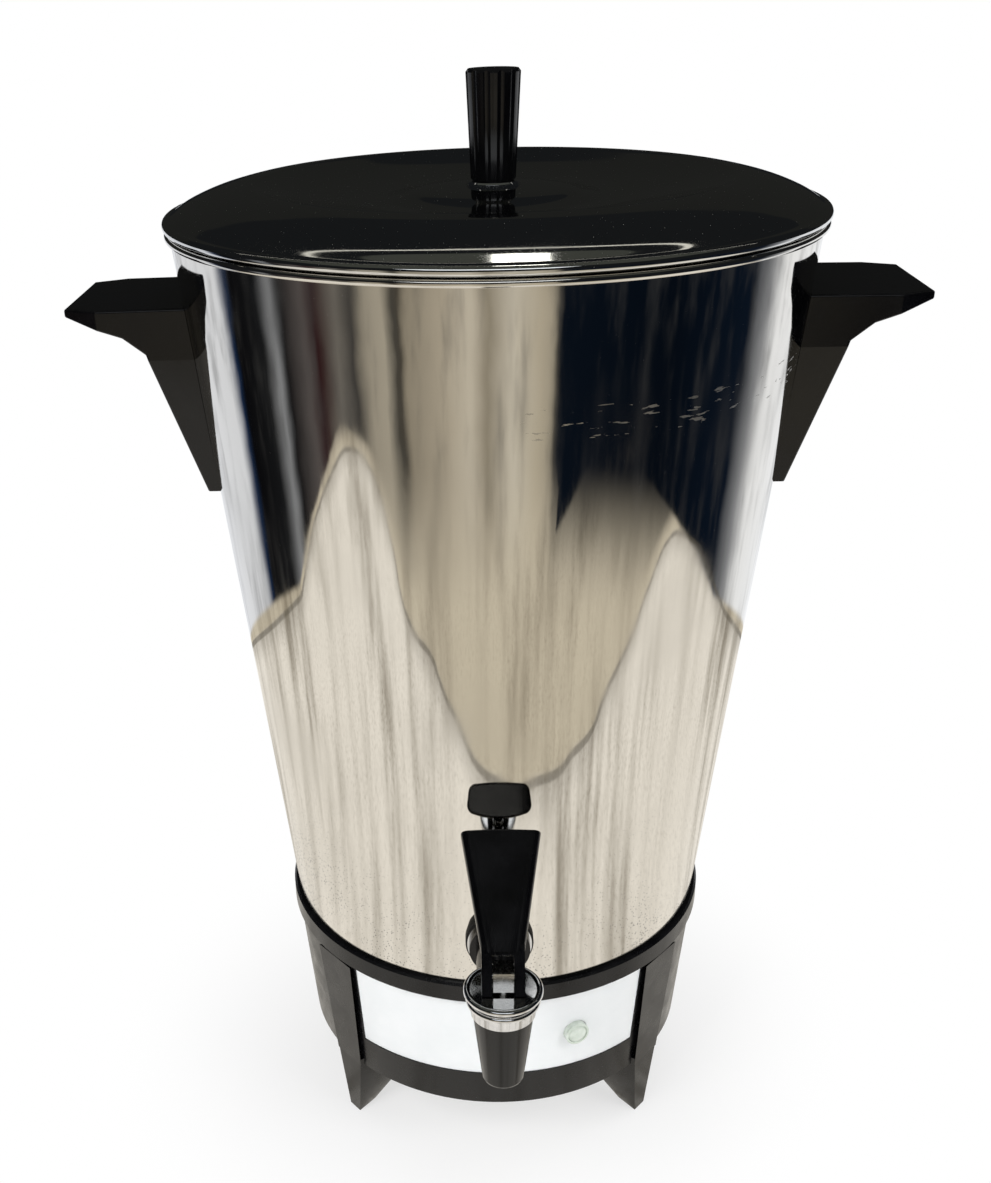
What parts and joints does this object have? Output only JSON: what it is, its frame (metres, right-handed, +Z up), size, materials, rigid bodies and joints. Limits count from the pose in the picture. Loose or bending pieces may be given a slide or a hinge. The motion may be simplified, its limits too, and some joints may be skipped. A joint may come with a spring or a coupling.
{
  "type": "coffee urn",
  "caption": "Tapered polished aluminium percolator urn with a black footed base, side handles, a lift-off lid and a spring-closed cam-lever tap.",
  "frame": {"origin": "on the floor, at the centre of the four feet and on the can's axis", "axes": "+Z up along the can's axis, -Y towards the tap at the front, +X to the right as seen from the front"},
  "size_m": [0.276, 0.2467, 0.3807],
  "materials": {
    "polished_aluminium": "polished bright",
    "satin_aluminium": "satin",
    "black_phenolic": "moulded phenolic, semi-gloss",
    "white_enamel": "gloss white enamel",
    "lens_plastic": "translucent moulded",
    "lamp_glass": "clear",
    "plated_steel": "zinc plated",
    "element_sheath": "heat-tinted sheath",
    "thermostat_body": "moulded",
    "wire_sleeve": "woven glass sleeve",
    "brass_pins": "plated",
    "seal_rubber": "soft matt",
    "chrome_trim": "bright",
    "stainless_stem": "bright drawn"
  },
  "bodies": {
    "urn": {"body_shell": "polished_aluminium", "well_cup": "satin_aluminium", "base_moulding": "black_phenolic", "front_panel": "white_enamel", "pilot_lens": "lens_plastic", "pilot_lamp": "lamp_glass", "bottom_plate": "plated_steel", "base_studs": "plated_steel", "base_nuts": "plated_steel", "main_element": "element_sheath", "warming_band": "element_sheath", "thermostat": "thermostat_body", "inner_wires": "wire_sleeve", "inlet_housing": "black_phenolic", "inlet_pins": "brass_pins", "inlet_screws": "plated_steel", "left_handle": "black_phenolic", "right_handle": "black_phenolic", "handle_screws": "plated_steel", "handle_washers": "seal_rubber", "tap_gasket": "seal_rubber", "tap_ring": "chrome_trim", "tap_body": "black_phenolic", "inner_gasket": "seal_rubber", "tap_nut": "plated_steel", "bonnet": "chrome_trim", "valve_spring": "stainless_stem"},
    "valve": {"valve_stem": "stainless_stem", "seat_cup": "seal_rubber"},
    "lever": {"tap_lever": "black_phenolic", "lever_pin": "stainless_stem"},
    "lid": {"lid_shell": "polished_aluminium", "lid_flange": "satin_aluminium", "lid_knob": "black_phenolic", "knob_washer": "chrome_trim", "knob_screw": "plated_steel"},
    "basket": {"coffee_basket": "satin_aluminium"},
    "cover": {"basket_cover": "satin_aluminium"},
    "pump": {"pump_tube": "satin_aluminium"},
    "disc": {"pump_disc": "stainless_stem"}
  },
  "joints": [
    {"name": "lid_lift", "type": "slide", "parent": "urn", "child": "lid", "axis": [0, 0, 1], "range_m": [0, 0.4]},
    {"name": "pump_lift", "type": "slide", "parent": "urn", "child": "pump", "axis": [0, 0, 1], "range_m": [0, 0.28]},
    {"name": "basket_lift", "type": "slide", "parent": "pump", "child": "basket", "axis": [0, 0, 1], "range_m": [0, 0.08]},
    {"name": "cover_lift", "type": "slide", "parent": "basket", "child": "cover", "axis": [0, 0, 1], "range_m": [0, 0.04]},
    {"name": "disc_lift", "type": "slide", "parent": "pump", "child": "disc", "axis": [0, 0, 1], "range_m": [0, 0.002]},
    {"name": "stem_lift", "type": "slide", "parent": "urn", "child": "valve", "axis": [0, 0, 1], "range_m": [0, 0.00261], "deforming": ["valve_spring"]},
    {"name": "lever_turn", "type": "hinge", "parent": "valve", "child": "lever", "pos_m": [0, -0.128, 0.1304], "axis": [1, 0, 0], "range_deg": [0, 38], "stiffness_Nm_per_rad": 0.03}
  ],
  "couplings": [
    {"joint": "pump_lift", "follows": "lid_lift", "ratio": 0.7},
    {"joint": "basket_lift", "follows": "lid_lift", "ratio": 0.2},
    {"joint": "cover_lift", "follows": "lid_lift", "ratio": 0.1},
    {"joint": "stem_lift", "follows": "lever_turn", "m_per_rad": 0.0039202}
  ]
}
